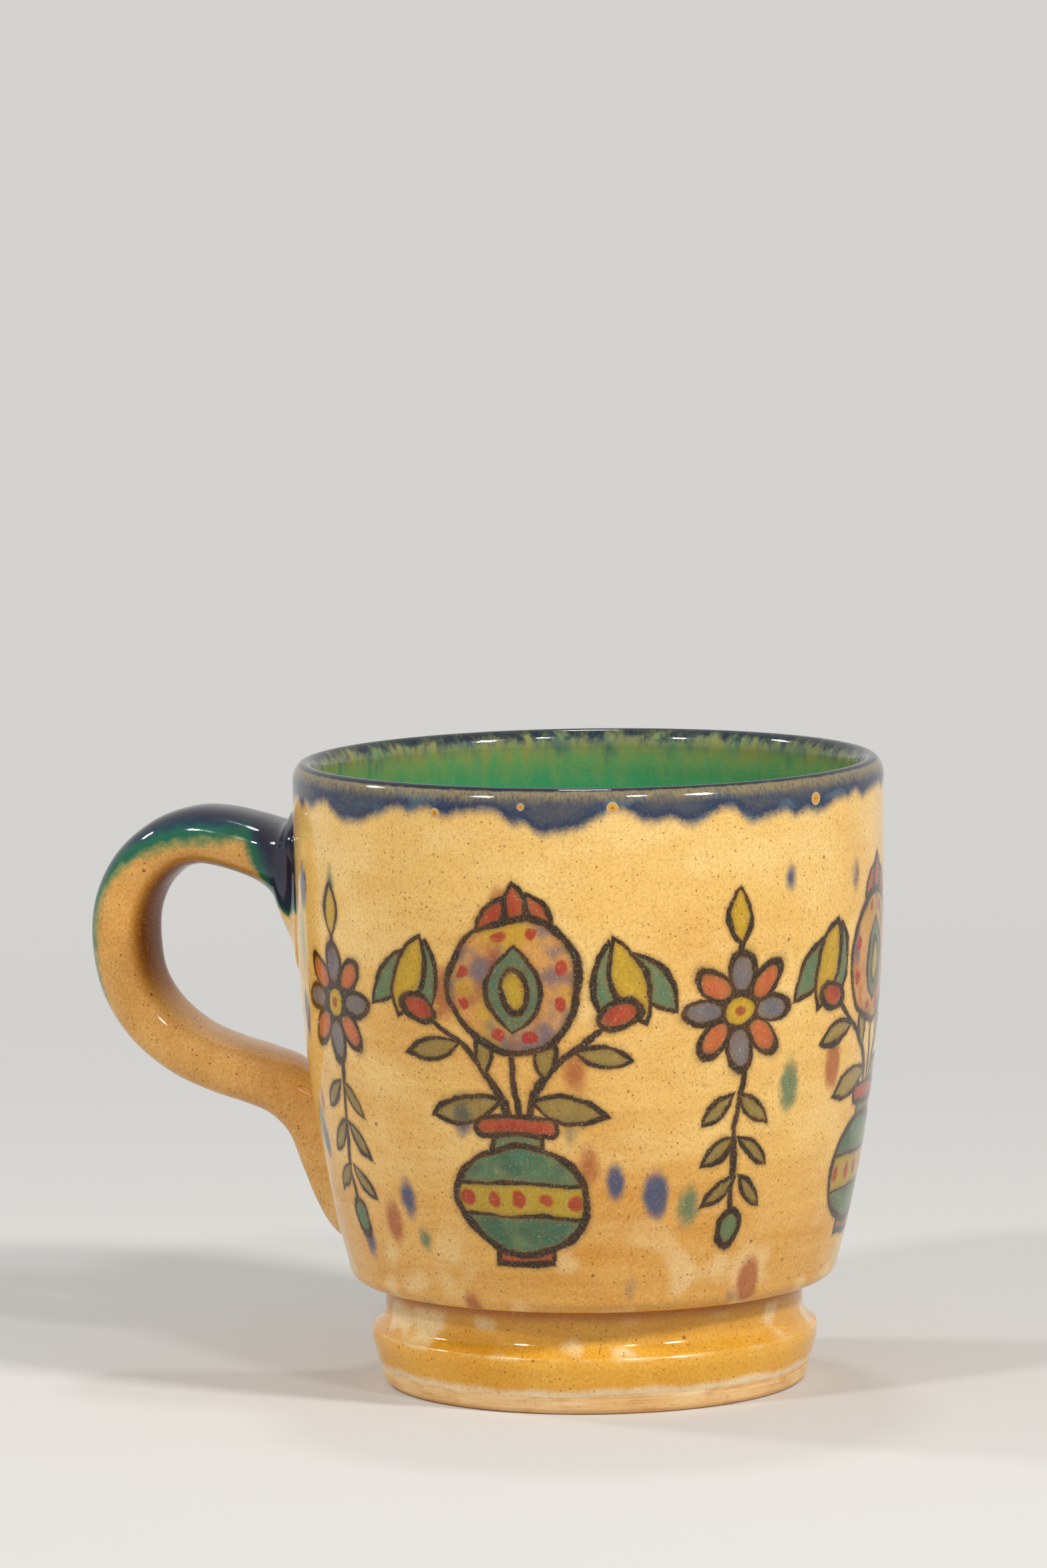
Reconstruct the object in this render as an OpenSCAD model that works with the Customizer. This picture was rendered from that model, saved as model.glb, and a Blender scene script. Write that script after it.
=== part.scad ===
// Hand-thrown stoneware mug: a thrown cup on a turned foot ring, with a pulled
// strap handle luted to its side and a coat of glaze over everything but the
// edge that it stands on. The glazes are solids of their own, because each is a
// separate coat that the potter brushes or pours on.
// Origin: middle of the foot ring, on the cup's axis. +Z is up, the handle
// stands out towards -X.

/* [Cup] */
// Height from the table to the crest of the lip
cup_h = 93.3; // [80:0.1:110]
// Outside diameter at the lip, over the glaze
rim_d = 88; // [76:1:104]
// How far the wall draws in from lip to shoulder, on the radius
wall_lean = 8.1; // [2:0.1:10]
// How low the wall starts to draw in: 1 gives a straight taper
lean_power = 2.75; // [1:0.05:4]
// Thickness of the wall just under the lip, over both glazes
lip_t = 3.9; // [3:0.1:6]
// Thickness of the wall down at the shoulder, over both glazes
heel_t = 5.2; // [4:0.1:7]
// Height of the rounding of the lip
lip_round = 3; // [2:0.1:5]
// Radius of the shoulder's lower corner
shoulder_round = 2.6; // [1:0.1:4]
// How far the shoulder overhangs the waist
shoulder_over = 4.6; // [3.5:0.1:7]
// Thickness of the floor
floor_t = 5.5; // [4:0.1:9]
// Radius of the corner between floor and wall, inside
heel_round = 9; // [4:0.5:14]

/* [Foot] */
// Height of the foot ring, which is also the depth of the turned hollow in it
foot_h = 11.4; // [10.5:0.1:16]
// Height of the narrow waist between foot ring and shoulder
waist_h = 4.1; // [2.5:0.1:8]
// How far the flange of the foot stands out past the waist
flange_out = 2.1; // [1.6:0.1:3]
// Radius of the hollow curve between the waist and the slope beneath it
cove_round = 2.4; // [1:0.1:3]
// Radius of the roll between the slope and the flange's upright edge
roll_round = 1.7; // [1:0.1:2.2]
// Height of the flange's upright edge
edge_h = 0.7; // [0.4:0.1:1.6]
// Rounding of the arris beneath the upright edge
arris_round = 0.6; // [0.55:0.05:1]
// How much wider the foot is at its arris than at the table, on the radius
foot_flare = 1.7; // [0:0.1:2.6]
// Rounding of the foot's lower edge
base_round = 1; // [0.5:0.1:1.8]
// Width of the flat ring that the mug stands on
ring_w = 4.8; // [3:0.1:8]
// How much the turned hollow narrows on its way up, on the radius
hollow_draft = 1.2; // [0:0.1:3]

/* [Handle] */
// How far the middle of the strap stands out from the wall
handle_out = 28.9; // [24:0.2:34]
// Drop from the lip to the middle of the strap at the handle's crown
crown_drop = 12.6; // [11:0.1:18]
// Rise from the shoulder to the end of the smoothed tail
tail_rise = 5.8; // [4:0.1:14]
// Thickness of the strap halfway round
strap_t = 8.7; // [7:0.1:11]
// Width of the strap halfway round
strap_w = 14.5; // [11:0.1:18]
// Thickness of the slip that joins the handle to the wall
slip_t = 0.8; // [0.6:0.1:1.2]

/* [Glaze] */
// Thickness of each coat of glaze
glaze_t = 0.4; // [0.2:0.05:0.5]
// Height of the bare edge below the foot's glaze
bare_h = 2.4; // [2:0.1:3]
// Width of the dark band below the rounding of the lip, outside
band_out = 3; // [2:0.1:4]
// Width of the dark band below the rounding of the lip, inside
band_in = 1.5; // [1:0.1:4]
// Rounding of the glaze that pools under the shoulder
pool_round = 0.9; // [0.4:0.1:1.4]

/* [Hidden] */
$fn = 144;

rim_r = rim_d / 2;
lip_z = cup_h - lip_round;
shoulder_h = foot_h + waist_h;
shoulder_z = shoulder_h + shoulder_round;
shoulder_r = rim_r - wall_lean;
waist_r = shoulder_r - shoulder_over;
floor_z = foot_h + floor_t;
heel_z = floor_z + heel_round;
band_z = lip_z - band_out;
liner_z = lip_z - band_in;

flange_r = waist_r + flange_out;
slope = 45;
roll_z = foot_h - flange_out - tan(slope / 2) * (cove_round + roll_round);
arris_z = roll_z - edge_h;
side_lean = atan(foot_flare / arris_z);
ring_out_r = side_r(base_round) - (glaze_t + base_round) / cos(side_lean);
ring_in_r = ring_out_r - ring_w;

crown_z = cup_h - crown_drop;
tail_z = shoulder_h + tail_rise;
grip_z = (crown_z + tail_z) / 2;

// How many straight steps stand for each curve
wall_steps = 22;
band_steps = 3;
arc_steps = 7;
arris_steps = 3;
lip_steps = 14;
span_steps = 3;
section_steps = 20;

// The handle's centre line from the upper joint round to the tail. Each row is
// [distance from the wall as a share of handle_out,
//  height as a share of the way from tail to crown,
//  outer face and finger face, each its distance from the centre line as a share
//  of strap_t, width as a share of strap_w].
handle_shares = [
  [-0.155, 0.960, 0.80, 1.90, 1.60],
  [0.000, 0.964, 0.66, 1.48, 1.50],
  [0.080, 0.968, 0.46, 0.88, 1.32],
  [0.160, 0.974, 0.42, 0.64, 1.18],
  [0.280, 0.985, 0.45, 0.53, 1.12],
  [0.435, 0.998, 0.47, 0.48, 1.08],
  [0.575, 1.000, 0.47, 0.47, 1.05],
  [0.730, 0.975, 0.47, 0.47, 1.02],
  [0.882, 0.912, 0.48, 0.48, 1.00],
  [0.975, 0.825, 0.49, 0.49, 1.00],
  [1.000, 0.727, 0.50, 0.50, 1.00],
  [0.970, 0.618, 0.49, 0.49, 1.00],
  [0.866, 0.526, 0.48, 0.49, 1.00],
  [0.698, 0.456, 0.47, 0.48, 1.00],
  [0.510, 0.415, 0.47, 0.48, 1.00],
  [0.333, 0.387, 0.47, 0.50, 1.00],
  [0.190, 0.352, 0.45, 0.53, 1.02],
  [0.090, 0.280, 0.36, 0.50, 1.00],
  [0.045, 0.189, 0.36, 0.40, 0.94],
  [0.022, 0.098, 0.32, 0.35, 0.84],
  [0.004, 0.028, 0.23, 0.30, 0.68],
  [-0.060, -0.020, 0.12, 0.12, 0.40]
];

// Powers of the strap's rounded section: side edges, outer face, finger face
edge_power_share = 0.80;
outer_power_share = 0.92;
finger_power_share = 0.74;

// Outer radius of the glazed wall at a height
function fall_share(z) = (lip_z - z) / (lip_z - shoulder_h);
function wall_r(z) = rim_r - wall_lean * pow(max(fall_share(z), 0), lean_power);

// Inner radius of the glazed wall at a height
function wall_t(z) = lip_t + (heel_t - lip_t) * fall_share(z);
function bore_r(z) = wall_r(z) - wall_t(z);

// Runs of [radius, height] points, each a depth in beneath the glazed surface.
// The clay and the glaze on it use the same runs, so they meet face to face.
function arc(r, z, rad_r, rad_z, from, to, steps) = [
  for (i = [0 : steps])
    let (a = from + (to - from) * i / steps)
      [r + rad_r * cos(a), z + rad_z * sin(a)]
];

// Radius of the foot's leaning side, over its glaze
function side_r(z) = flange_r - foot_flare * (1 - z / arris_z);

// From the leaning side's lower edge over arris, upright edge, roll and cove to the waist
function foot_run(depth) = concat(
  [[side_r(bare_h) - depth / cos(side_lean), bare_h]],
  arc(flange_r - arris_round, arris_z + arris_round * tan(side_lean / 2), arris_round - depth,
      arris_round - depth, -side_lean, 0, arris_steps),
  arc(flange_r - roll_round, roll_z, roll_round - depth, roll_round - depth, 0, slope, arc_steps),
  arc(waist_r + cove_round, foot_h, cove_round + depth, cove_round + depth, 180 + slope, 180, arc_steps)
);

function waist_run(depth, pool) = concat(
  pool > 0
    ? arc(waist_r - depth + pool, shoulder_h + depth - pool, pool, pool, 180, 90, arc_steps)
    : [[waist_r - depth, shoulder_h + depth]],
  [[wall_r(shoulder_z) - shoulder_round, shoulder_h + depth]]
);

function shoulder_run(depth) =
  arc(wall_r(shoulder_z) - shoulder_round, shoulder_z, shoulder_round - depth, shoulder_round - depth,
      -90, 0, arc_steps);

function wall_run(depth, from, to, steps) = [
  for (i = [0 : steps])
    let (z = from + (to - from) * i / steps)
      [wall_r(z) - depth, z]
];

function lip_run(depth) =
  arc(rim_r - lip_t / 2, lip_z, lip_t / 2 - depth, lip_round - depth, 0, 180, lip_steps);

function bore_run(depth, from, to, steps) = [
  for (i = [0 : steps])
    let (z = from + (to - from) * i / steps)
      [bore_r(z) + depth, z]
];

function heel_run(depth) = concat(
  arc(bore_r(heel_z) - heel_round, heel_z, heel_round + depth, heel_round + depth, 0, -90, arc_steps),
  [[0, floor_z - depth]]
);

function reversed(run) = [for (i = [len(run) - 1 : -1 : 0]) run[i]];

// One coat of glaze: a run at the surface, and the same run on the clay
module coat(top_run, clay_run) {
  rotate_extrude()
    polygon(concat(top_run, reversed(clay_run)));
}

// The cup's outer form as a plug without its hollow, at a depth beneath the glaze
module wall_plug(depth) {
  rotate_extrude()
    polygon(concat(
      [[0, foot_h]],
      [[waist_r - depth, foot_h]],
      waist_run(depth, 0),
      shoulder_run(depth),
      wall_run(depth, shoulder_z, band_z, wall_steps),
      [[0, band_z]]
    ));
}

// Catmull-Rom point between p[1] and p[2]
function blend(p, s) =
  (2 * p[1] + (p[2] - p[0]) * s + (2 * p[0] - 5 * p[1] + 4 * p[2] - p[3]) * s * s
    + (3 * p[1] - p[0] - 3 * p[2] + p[3]) * s * s * s) / 2;

// One row of the table in millimetres:
// [out from the axis, height, to the outer face, to the finger face, width]
function station(i) =
  let (
    row = handle_shares[min(max(i, 0), len(handle_shares) - 1)],
    z = tail_z + row[1] * (crown_z - tail_z)
  )
    [wall_r(z) + row[0] * handle_out, z, row[2] * strap_t, row[3] * strap_t, row[4] * strap_w];

stations = [
  for (i = [0 : len(handle_shares) - 2])
    for (j = [0 : span_steps - 1])
      blend([station(i - 1), station(i), station(i + 1), station(i + 2)], j / span_steps)
];

function along(i) =
  let (
    a = stations[max(i - 1, 0)],
    b = stations[min(i + 1, len(stations) - 1)],
    run = [b[0] - a[0], b[1] - a[1]]
  )
    run / norm(run);

function eased(v, power) = sign(v) * pow(abs(v), power);

// One ring of the strap, square to the centre line, grown by the glaze on it
function ring(i, grow) =
  let (
    s = stations[i],
    dir = along(i)
  )
    [
      for (j = [0 : section_steps - 1])
        let (
          a = 360 * j / section_steps,
          side = (s[4] / 2 + grow) * eased(cos(a), edge_power_share),
          face = sin(a) > 0
            ? (s[2] + grow) * eased(sin(a), outer_power_share)
            : (s[3] + grow) * eased(sin(a), finger_power_share)
        )
          [-(s[0] - dir[1] * face), side, s[1] + dir[0] * face]
    ];

function rings(grow) = [for (i = [0 : len(stations) - 1]) each ring(i, grow)];

// Triangles of a skin over the rings that start at point number base
function skin(base) = [
  for (i = [0 : len(stations) - 2])
    for (j = [0 : section_steps - 1])
      let (
        k = (j + 1) % section_steps,
        a = base + i * section_steps,
        b = a + section_steps
      )
        each [[a + j, a + k, b + j], [a + k, b + k, b + j]]
];

function flipped(faces) = [for (f = faces) [f[2], f[1], f[0]]];

module strap() {
  last = (len(stations) - 1) * section_steps;
  polyhedron(
    points = rings(0),
    faces = concat(
      skin(0),
      [[for (j = [section_steps - 1 : -1 : 0]) j]],
      [[for (j = [0 : section_steps - 1]) last + j]]
    )
  );
}

// The strap's coat of glaze: a skin outside, a skin on the clay, joined at both ends
module strap_coat() {
  count = len(stations) * section_steps;
  last = count - section_steps;
  polyhedron(
    points = concat(rings(glaze_t), rings(0)),
    faces = concat(
      skin(0),
      flipped(skin(count)),
      [
        for (j = [0 : section_steps - 1])
          let (k = (j + 1) % section_steps)
            each [[j, count + j, k], [k, count + j, count + k]]
      ],
      [
        for (j = [0 : section_steps - 1])
          let (k = (j + 1) % section_steps)
            each [[last + j, last + k, last + count + j], [last + k, last + count + k, last + count + j]]
      ]
    )
  );
}

module strap_glazed() {
  last = (len(stations) - 1) * section_steps;
  polyhedron(
    points = rings(glaze_t),
    faces = concat(
      skin(0),
      [[for (j = [section_steps - 1 : -1 : 0]) j]],
      [[for (j = [0 : section_steps - 1]) last + j]]
    )
  );
}

// The layer of slip between the wall's clay and the strap, from one height to another
module slip_pad(from, to) {
  intersection() {
    strap();
    coat(
      wall_run(glaze_t - slip_t, from, to, wall_steps),
      wall_run(glaze_t, from, to, wall_steps)
    );
  }
}

module cup_body() {
  color([0.80, 0.68, 0.50])
    rotate_extrude()
      polygon(concat(
        [[0, foot_h]],
        [[waist_r - glaze_t, foot_h]],
        waist_run(glaze_t, 0),
        shoulder_run(glaze_t),
        wall_run(glaze_t, shoulder_z, band_z, wall_steps),
        wall_run(glaze_t, band_z, lip_z, band_steps),
        lip_run(glaze_t),
        bore_run(glaze_t, lip_z, liner_z, band_steps),
        bore_run(glaze_t, liner_z, heel_z, wall_steps),
        heel_run(glaze_t)
      ));
}

module foot_ring() {
  color([0.88, 0.79, 0.64])
    rotate_extrude()
      polygon(concat(
        [[ring_in_r, 0]],
        arc(ring_out_r, base_round, base_round, base_round, -90, -side_lean, arc_steps),
        foot_run(glaze_t),
        [[ring_in_r - hollow_draft, foot_h]]
      ));
}

module handle() {
  color([0.78, 0.64, 0.42])
    difference() {
      strap();
      wall_plug(glaze_t - slip_t);
    }
}

module upper_slip_joint() {
  color([0.84, 0.74, 0.58])
    slip_pad(grip_z, band_z);
}

module lower_slip_joint() {
  color([0.84, 0.74, 0.58])
    slip_pad(shoulder_z, grip_z);
}

module liner_glaze() {
  color([0.42, 0.50, 0.36])
    coat(
      concat(bore_run(0, liner_z, heel_z, wall_steps), heel_run(0)),
      concat(bore_run(glaze_t, liner_z, heel_z, wall_steps), heel_run(glaze_t))
    );
}

module wall_glaze() {
  color([0.87, 0.73, 0.47])
    difference() {
      coat(
        concat(shoulder_run(0), wall_run(0, shoulder_z, band_z, wall_steps)),
        concat(shoulder_run(glaze_t), wall_run(glaze_t, shoulder_z, band_z, wall_steps))
      );
      strap_glazed();
    }
}

module rim_glaze() {
  color([0.17, 0.17, 0.27])
    coat(
      concat(
        wall_run(0, band_z, lip_z, band_steps),
        lip_run(0),
        bore_run(0, lip_z, liner_z, band_steps)
      ),
      concat(
        wall_run(glaze_t, band_z, lip_z, band_steps),
        lip_run(glaze_t),
        bore_run(glaze_t, lip_z, liner_z, band_steps)
      )
    );
}

module foot_glaze() {
  color([0.80, 0.58, 0.26])
    coat(
      concat(foot_run(0), waist_run(0, pool_round)),
      concat(foot_run(glaze_t), waist_run(glaze_t, 0))
    );
}

module handle_glaze() {
  color([0.83, 0.66, 0.36])
    difference() {
      strap_coat();
      wall_plug(glaze_t);
    }
}

cup_body();
foot_ring();
handle();
upper_slip_joint();
lower_slip_joint();
liner_glaze();
wall_glaze();
rim_glaze();
foot_glaze();
handle_glaze();
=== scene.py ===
"""Looks of a hand-thrown stoneware mug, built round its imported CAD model.

The coats of glaze are rebuilt as smooth dense skins with the slight unevenness of
throwing by hand. One outline, the same as the source's, gives them all, so they meet
without a seam. Their colours come from node maths on the object's own coordinates:
a painted folk frieze of vases and rosettes, soft daubs, a cobalt rim, a copper green
liner and an amber foot.
"""
from math import atan, ceil, cos, degrees, pi, radians, sin, tan

import bpy
import numpy as np
from mathutils import Matrix, Vector


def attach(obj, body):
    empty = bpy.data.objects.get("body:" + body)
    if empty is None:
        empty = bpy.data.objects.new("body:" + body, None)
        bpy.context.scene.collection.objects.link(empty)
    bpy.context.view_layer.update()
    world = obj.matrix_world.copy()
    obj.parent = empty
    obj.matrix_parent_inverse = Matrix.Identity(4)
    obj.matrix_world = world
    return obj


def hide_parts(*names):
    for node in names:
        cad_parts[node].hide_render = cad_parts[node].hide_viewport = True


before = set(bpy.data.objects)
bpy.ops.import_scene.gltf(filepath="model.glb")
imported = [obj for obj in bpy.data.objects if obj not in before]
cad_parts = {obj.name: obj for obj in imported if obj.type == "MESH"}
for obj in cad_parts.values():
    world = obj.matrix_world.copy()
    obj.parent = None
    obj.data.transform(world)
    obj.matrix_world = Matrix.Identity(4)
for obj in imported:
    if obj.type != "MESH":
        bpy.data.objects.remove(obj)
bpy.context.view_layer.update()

MM = 0.001

# ---- sizes, in millimetres
CUP_H, RIM_R, WALL_LEAN, LEAN_POWER = 93.3, 44.0, 8.1, 2.75
LIP_T, HEEL_T, LIP_ROUND = 3.9, 5.2, 3.0
SHOULDER_ROUND, SHOULDER_OVER = 2.6, 4.6
FLOOR_T, HEEL_ROUND = 5.5, 9.0
FOOT_H, WAIST_H, FLANGE_OUT, COVE_ROUND, ROLL_ROUND = 11.4, 4.1, 2.1, 2.4, 1.7
EDGE_H, ARRIS_ROUND, FOOT_FLARE, BARE_H = 0.7, 0.6, 1.7, 2.4
GLAZE_T, BAND_OUT, BAND_IN, POOL_ROUND = 0.4, 3.0, 1.5, 0.9
HANDLE_OUT, CROWN_DROP, TAIL_RISE, STRAP_T, STRAP_W = 28.9, 12.6, 5.8, 8.7, 14.5

LIP_Z = CUP_H - LIP_ROUND
SHOULDER_H = FOOT_H + WAIST_H
SHOULDER_Z = SHOULDER_H + SHOULDER_ROUND
WAIST_R = RIM_R - WALL_LEAN - SHOULDER_OVER
FLOOR_Z = FOOT_H + FLOOR_T
HEEL_Z = FLOOR_Z + HEEL_ROUND
BAND_Z = LIP_Z - BAND_OUT
LINER_Z = LIP_Z - BAND_IN
FLANGE_R = WAIST_R + FLANGE_OUT
ROLL_Z = FOOT_H - FLANGE_OUT - tan(pi / 8) * (COVE_ROUND + ROLL_ROUND)
ARRIS_Z = ROLL_Z - EDGE_H
SIDE_LEAN = atan(FOOT_FLARE / ARRIS_Z)
CROWN_Z = CUP_H - CROWN_DROP
TAIL_Z = SHOULDER_H + TAIL_RISE

COLUMNS = 320  # round the cup
KINK_SIGMA = 0.22  # how far kinks of the outline are rounded
DEEPEST = 0.3  # the most that the glaze's skin lies under its true form


def wall_r(z):
    fall = np.maximum((LIP_Z - z) / (LIP_Z - SHOULDER_H), 0)
    return RIM_R - WALL_LEAN * fall**LEAN_POWER


def bore_r(z):
    fall = (LIP_Z - z) / (LIP_Z - SHOULDER_H)
    return wall_r(z) - (LIP_T + (HEEL_T - LIP_T) * fall)


def side_r(z):
    return FLANGE_R - FOOT_FLARE * (1 - z / ARRIS_Z)


# ---- the cup's outline
def arc(r, z, radius, start, end, n=200, tall=None):
    a = np.radians(np.linspace(start, end, n))
    return np.c_[r + radius * np.cos(a), z + (tall or radius) * np.sin(a)]


def line(*points, n=200):
    runs = [np.linspace(a, b, n) for a, b in zip(points[:-1], points[1:])]
    return np.concatenate(runs)


def fine_runs():
    """The glazed surface from the foot's bare edge, over the lip, to the middle of the
    floor: one fine run of (radius, height) for each coat of glaze."""
    under_r = wall_r(SHOULDER_Z) - SHOULDER_ROUND
    lean = degrees(SIDE_LEAN)
    arris = arc(FLANGE_R - ARRIS_ROUND, ARRIS_Z + ARRIS_ROUND * tan(SIDE_LEAN / 2),
                ARRIS_ROUND, -lean, 0)
    roll = arc(FLANGE_R - ROLL_ROUND, ROLL_Z, ROLL_ROUND, 0, 45)
    cove = arc(WAIST_R + COVE_ROUND, FOOT_H, COVE_ROUND, 225, 180)
    foot = np.concatenate([
        line((side_r(BARE_H), BARE_H), arris[0]),
        arris,
        line(arris[-1], roll[0]),
        roll,
        line(roll[-1], cove[0]),
        cove,
        line((WAIST_R, FOOT_H), (WAIST_R, SHOULDER_H - POOL_ROUND)),
        arc(WAIST_R + POOL_ROUND, SHOULDER_H - POOL_ROUND, POOL_ROUND, 180, 90),
        line((WAIST_R + POOL_ROUND, SHOULDER_H), (under_r, SHOULDER_H)),
    ])
    wall_z = np.linspace(SHOULDER_Z, BAND_Z, 1200)
    wall = np.concatenate([
        arc(under_r, SHOULDER_Z, SHOULDER_ROUND, -90, 0),
        np.c_[wall_r(wall_z), wall_z],
    ])
    band_z = np.linspace(BAND_Z, LIP_Z, 100)
    in_z = np.linspace(LIP_Z, LINER_Z, 100)
    rim = np.concatenate([
        np.c_[wall_r(band_z), band_z],
        arc(RIM_R - LIP_T / 2, LIP_Z, LIP_T / 2, 0, 180, 400, LIP_ROUND),
        np.c_[bore_r(in_z), in_z],
    ])
    bore_z = np.linspace(LINER_Z, HEEL_Z, 1200)
    heel_r = bore_r(HEEL_Z) - HEEL_ROUND
    liner = np.concatenate([
        np.c_[bore_r(bore_z), bore_z],
        arc(heel_r, HEEL_Z, HEEL_ROUND, 0, -90, 300),
        line((heel_r, FLOOR_Z), (0.0, FLOOR_Z), n=500),
    ])
    return [foot, wall, rim, liner]


def hops(points):
    """The distance from each point to the next."""
    return np.linalg.norm(np.diff(points, axis=0), axis=1)


def smoothed(points, sigma):
    """An evenly spaced run of points with its kinks rounded, ends kept."""
    pitch = 0.05
    along = np.r_[0, np.cumsum(hops(points))]
    even = np.arange(0, along[-1], pitch)
    run = np.column_stack([np.interp(even, along, part) for part in points.T])
    reach = int(4 * sigma / pitch)
    kernel = np.exp(-0.5 * (np.arange(-reach, reach + 1) * pitch / sigma) ** 2)
    kernel /= kernel.sum()
    head = 2 * run[0] - run[reach:0:-1]
    tail = 2 * run[-1] - run[-2:-reach - 2:-1]
    padded = np.concatenate([head, run, tail])
    out = np.column_stack([np.convolve(part, kernel, "valid") for part in padded.T])
    out[-1] = points[-1]
    return out, even


def row_places(run, even, start, end, longest=0.85, turn=7.0):
    """Distances along the run for rows of vertices: close where it bends."""
    inside = (even >= start) & (even <= end)
    e, p = even[inside], run[inside]
    d = np.diff(p, axis=0)
    angle = np.unwrap(np.arctan2(d[:, 1], d[:, 0]))
    bend = np.degrees(np.abs(np.diff(angle, append=angle[-1])))
    cost = np.r_[0, np.cumsum(hops(p) / longest + bend / turn)]
    rows = np.linspace(0, cost[-1], int(ceil(cost[-1])) + 1)
    places = np.interp(rows, cost, e)
    places[0], places[-1] = start, end
    return places


RUNS = fine_runs()
JOINED = np.concatenate([RUNS[0]] + [r[1:] for r in RUNS[1:]])
JOINED = JOINED[np.r_[True, hops(JOINED) > 1e-6]]  # no point twice
BORDERS = np.r_[0, np.cumsum([hops(r).sum() for r in RUNS])]
RUN, EVEN = smoothed(JOINED, KINK_SIGMA)
BORDERS[-1] = EVEN[-1]
PLACES, FIRST_ROW = [], [0]
for k in range(4):
    rows = row_places(RUN, EVEN, BORDERS[k], BORDERS[k + 1])
    PLACES.extend(rows if k == 0 else rows[1:])
    FIRST_ROW.append(len(PLACES) - 1)
PLACES = np.array(PLACES)
ROW_R = np.interp(PLACES, EVEN, RUN[:, 0])
ROW_Z = np.interp(PLACES, EVEN, RUN[:, 1])
ROW_R[-1] = 0.0
tangent = np.c_[np.gradient(ROW_R, PLACES), np.gradient(ROW_Z, PLACES)]
tangent /= np.linalg.norm(tangent, axis=1)[:, None]
ROW_OUT = np.c_[tangent[:, 1], -tangent[:, 0]]  # out of the glaze, in (radius, height)
ANGLES = np.arange(COLUMNS) * 2 * pi / COLUMNS


def soft_step(x, low, high):
    t = np.clip((x - low) / (high - low), 0, 1)
    return t * t * (3 - 2 * t)


# Unevenness of the thrown wall: depth in mm, waves round it, their start, drift per mm.
SLOW_WAVES = ((0.060, 2, 0.9, 0.020), (0.035, 3, -0.7, 0.055))
INSIDE_RINGS, OUTSIDE_RINGS = (5.2, 0.040), (3.7, 0.014)  # pitch and depth in mm


def hand_waves(a, row):
    """How far, in mm, the potter's hand leaves the surface under the true form."""
    r, z = ROW_R[row], ROW_Z[row]
    slow = sum(deep * (1 + np.sin(count * a + start + drift * z))
               for deep, count, start, drift in SLOW_WAVES)
    inside = row >= FIRST_ROW[2] + (FIRST_ROW[3] - FIRST_ROW[2]) // 2
    pitch, deep = INSIDE_RINGS if inside else OUTSIDE_RINGS
    wander = 0.7 * sin(0.23 * z) + 0.5 * sin(0.11 * z + 2)
    ridges = deep * (1 + np.sin(2 * pi * (z + wander) / pitch - a))
    ridges = ridges * soft_step(abs(z - CUP_H), 1.0, 7.0)  # none on the lip
    return (slow + ridges) * soft_step(r, 0.0, 14.0)  # and none in the floor's middle


# The foot's glaze stops in a wavy line above the bare edge: height in mm, waves round
# the foot, and the turn in radians where each wave starts.
LINE_WAVES = ((0.17, 2, 2.4), (0.11, 5, 0.4), (0.07, 11, 1.9), (0.04, 23, 0.0))


def glaze_line(a):
    return sum(high * (1 + np.sin(count * a + start)) for high, count, start in LINE_WAVES)


EDGE_ROLL = 0.8  # height over which the glaze's lower edge rounds off
RIDGE_Z, RIDGE_OUT, RIDGE_HALF = 8.45, 0.15, 0.24  # the turning tool's burr on the roll
EDGE_TOP = ARRIS_Z - 1.2  # the glaze line's waves have died out up here
GRID = np.zeros((len(PLACES), COLUMNS, 3))
CLAY = np.zeros_like(GRID)
for i in range(len(PLACES)):
    r = np.full(COLUMNS, ROW_R[i])
    z = np.full(COLUMNS, ROW_Z[i])
    if z[0] < EDGE_TOP and i < FIRST_ROW[1]:
        share = (z - BARE_H) / (EDGE_TOP - BARE_H)
        z = BARE_H + glaze_line(ANGLES) * (1 - share) + (EDGE_TOP - BARE_H) * share
        r = side_r(z)
        edge = np.clip((z - BARE_H - glaze_line(ANGLES)) / EDGE_ROLL, 0, 1)
        roll = GLAZE_T * 0.98 * (1 - np.sqrt(1 - (1 - edge) ** 2 + 1e-9))
    else:
        roll = np.zeros(COLUMNS)
    sink = hand_waves(ANGLES, i)
    if i < FIRST_ROW[1]:
        sink = sink - RIDGE_OUT * np.exp(-((ROW_Z[i] - RIDGE_Z) / RIDGE_HALF) ** 2)
    sink = np.maximum(roll, np.minimum(sink, DEEPEST))
    for grid, depth in ((GRID, sink), (CLAY, np.full(COLUMNS, GLAZE_T))):
        rr = np.maximum(r - ROW_OUT[i, 0] * depth, 0)
        zz = z - ROW_OUT[i, 1] * depth
        grid[i] = np.c_[rr * np.cos(ANGLES), rr * np.sin(ANGLES), zz]
GRID[-1] = GRID[-1].mean(axis=0)
CLAY[-1] = CLAY[-1].mean(axis=0)


def skin_normals(points):
    """Normals of a grid of points that closes on itself along its second axis."""
    along = np.gradient(points, axis=0)
    across = (np.roll(points, -1, axis=1) - np.roll(points, 1, axis=1)) / 2
    out = np.cross(across, along)
    return out / np.maximum(np.linalg.norm(out, axis=2, keepdims=True), 1e-9)


NORMALS = skin_normals(GRID)
NORMALS[-1] = (0, 0, 1)


# ---- meshes
def placed(name, data):
    obj = bpy.data.objects.new(name, data)
    bpy.context.scene.collection.objects.link(obj)
    return obj


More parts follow.
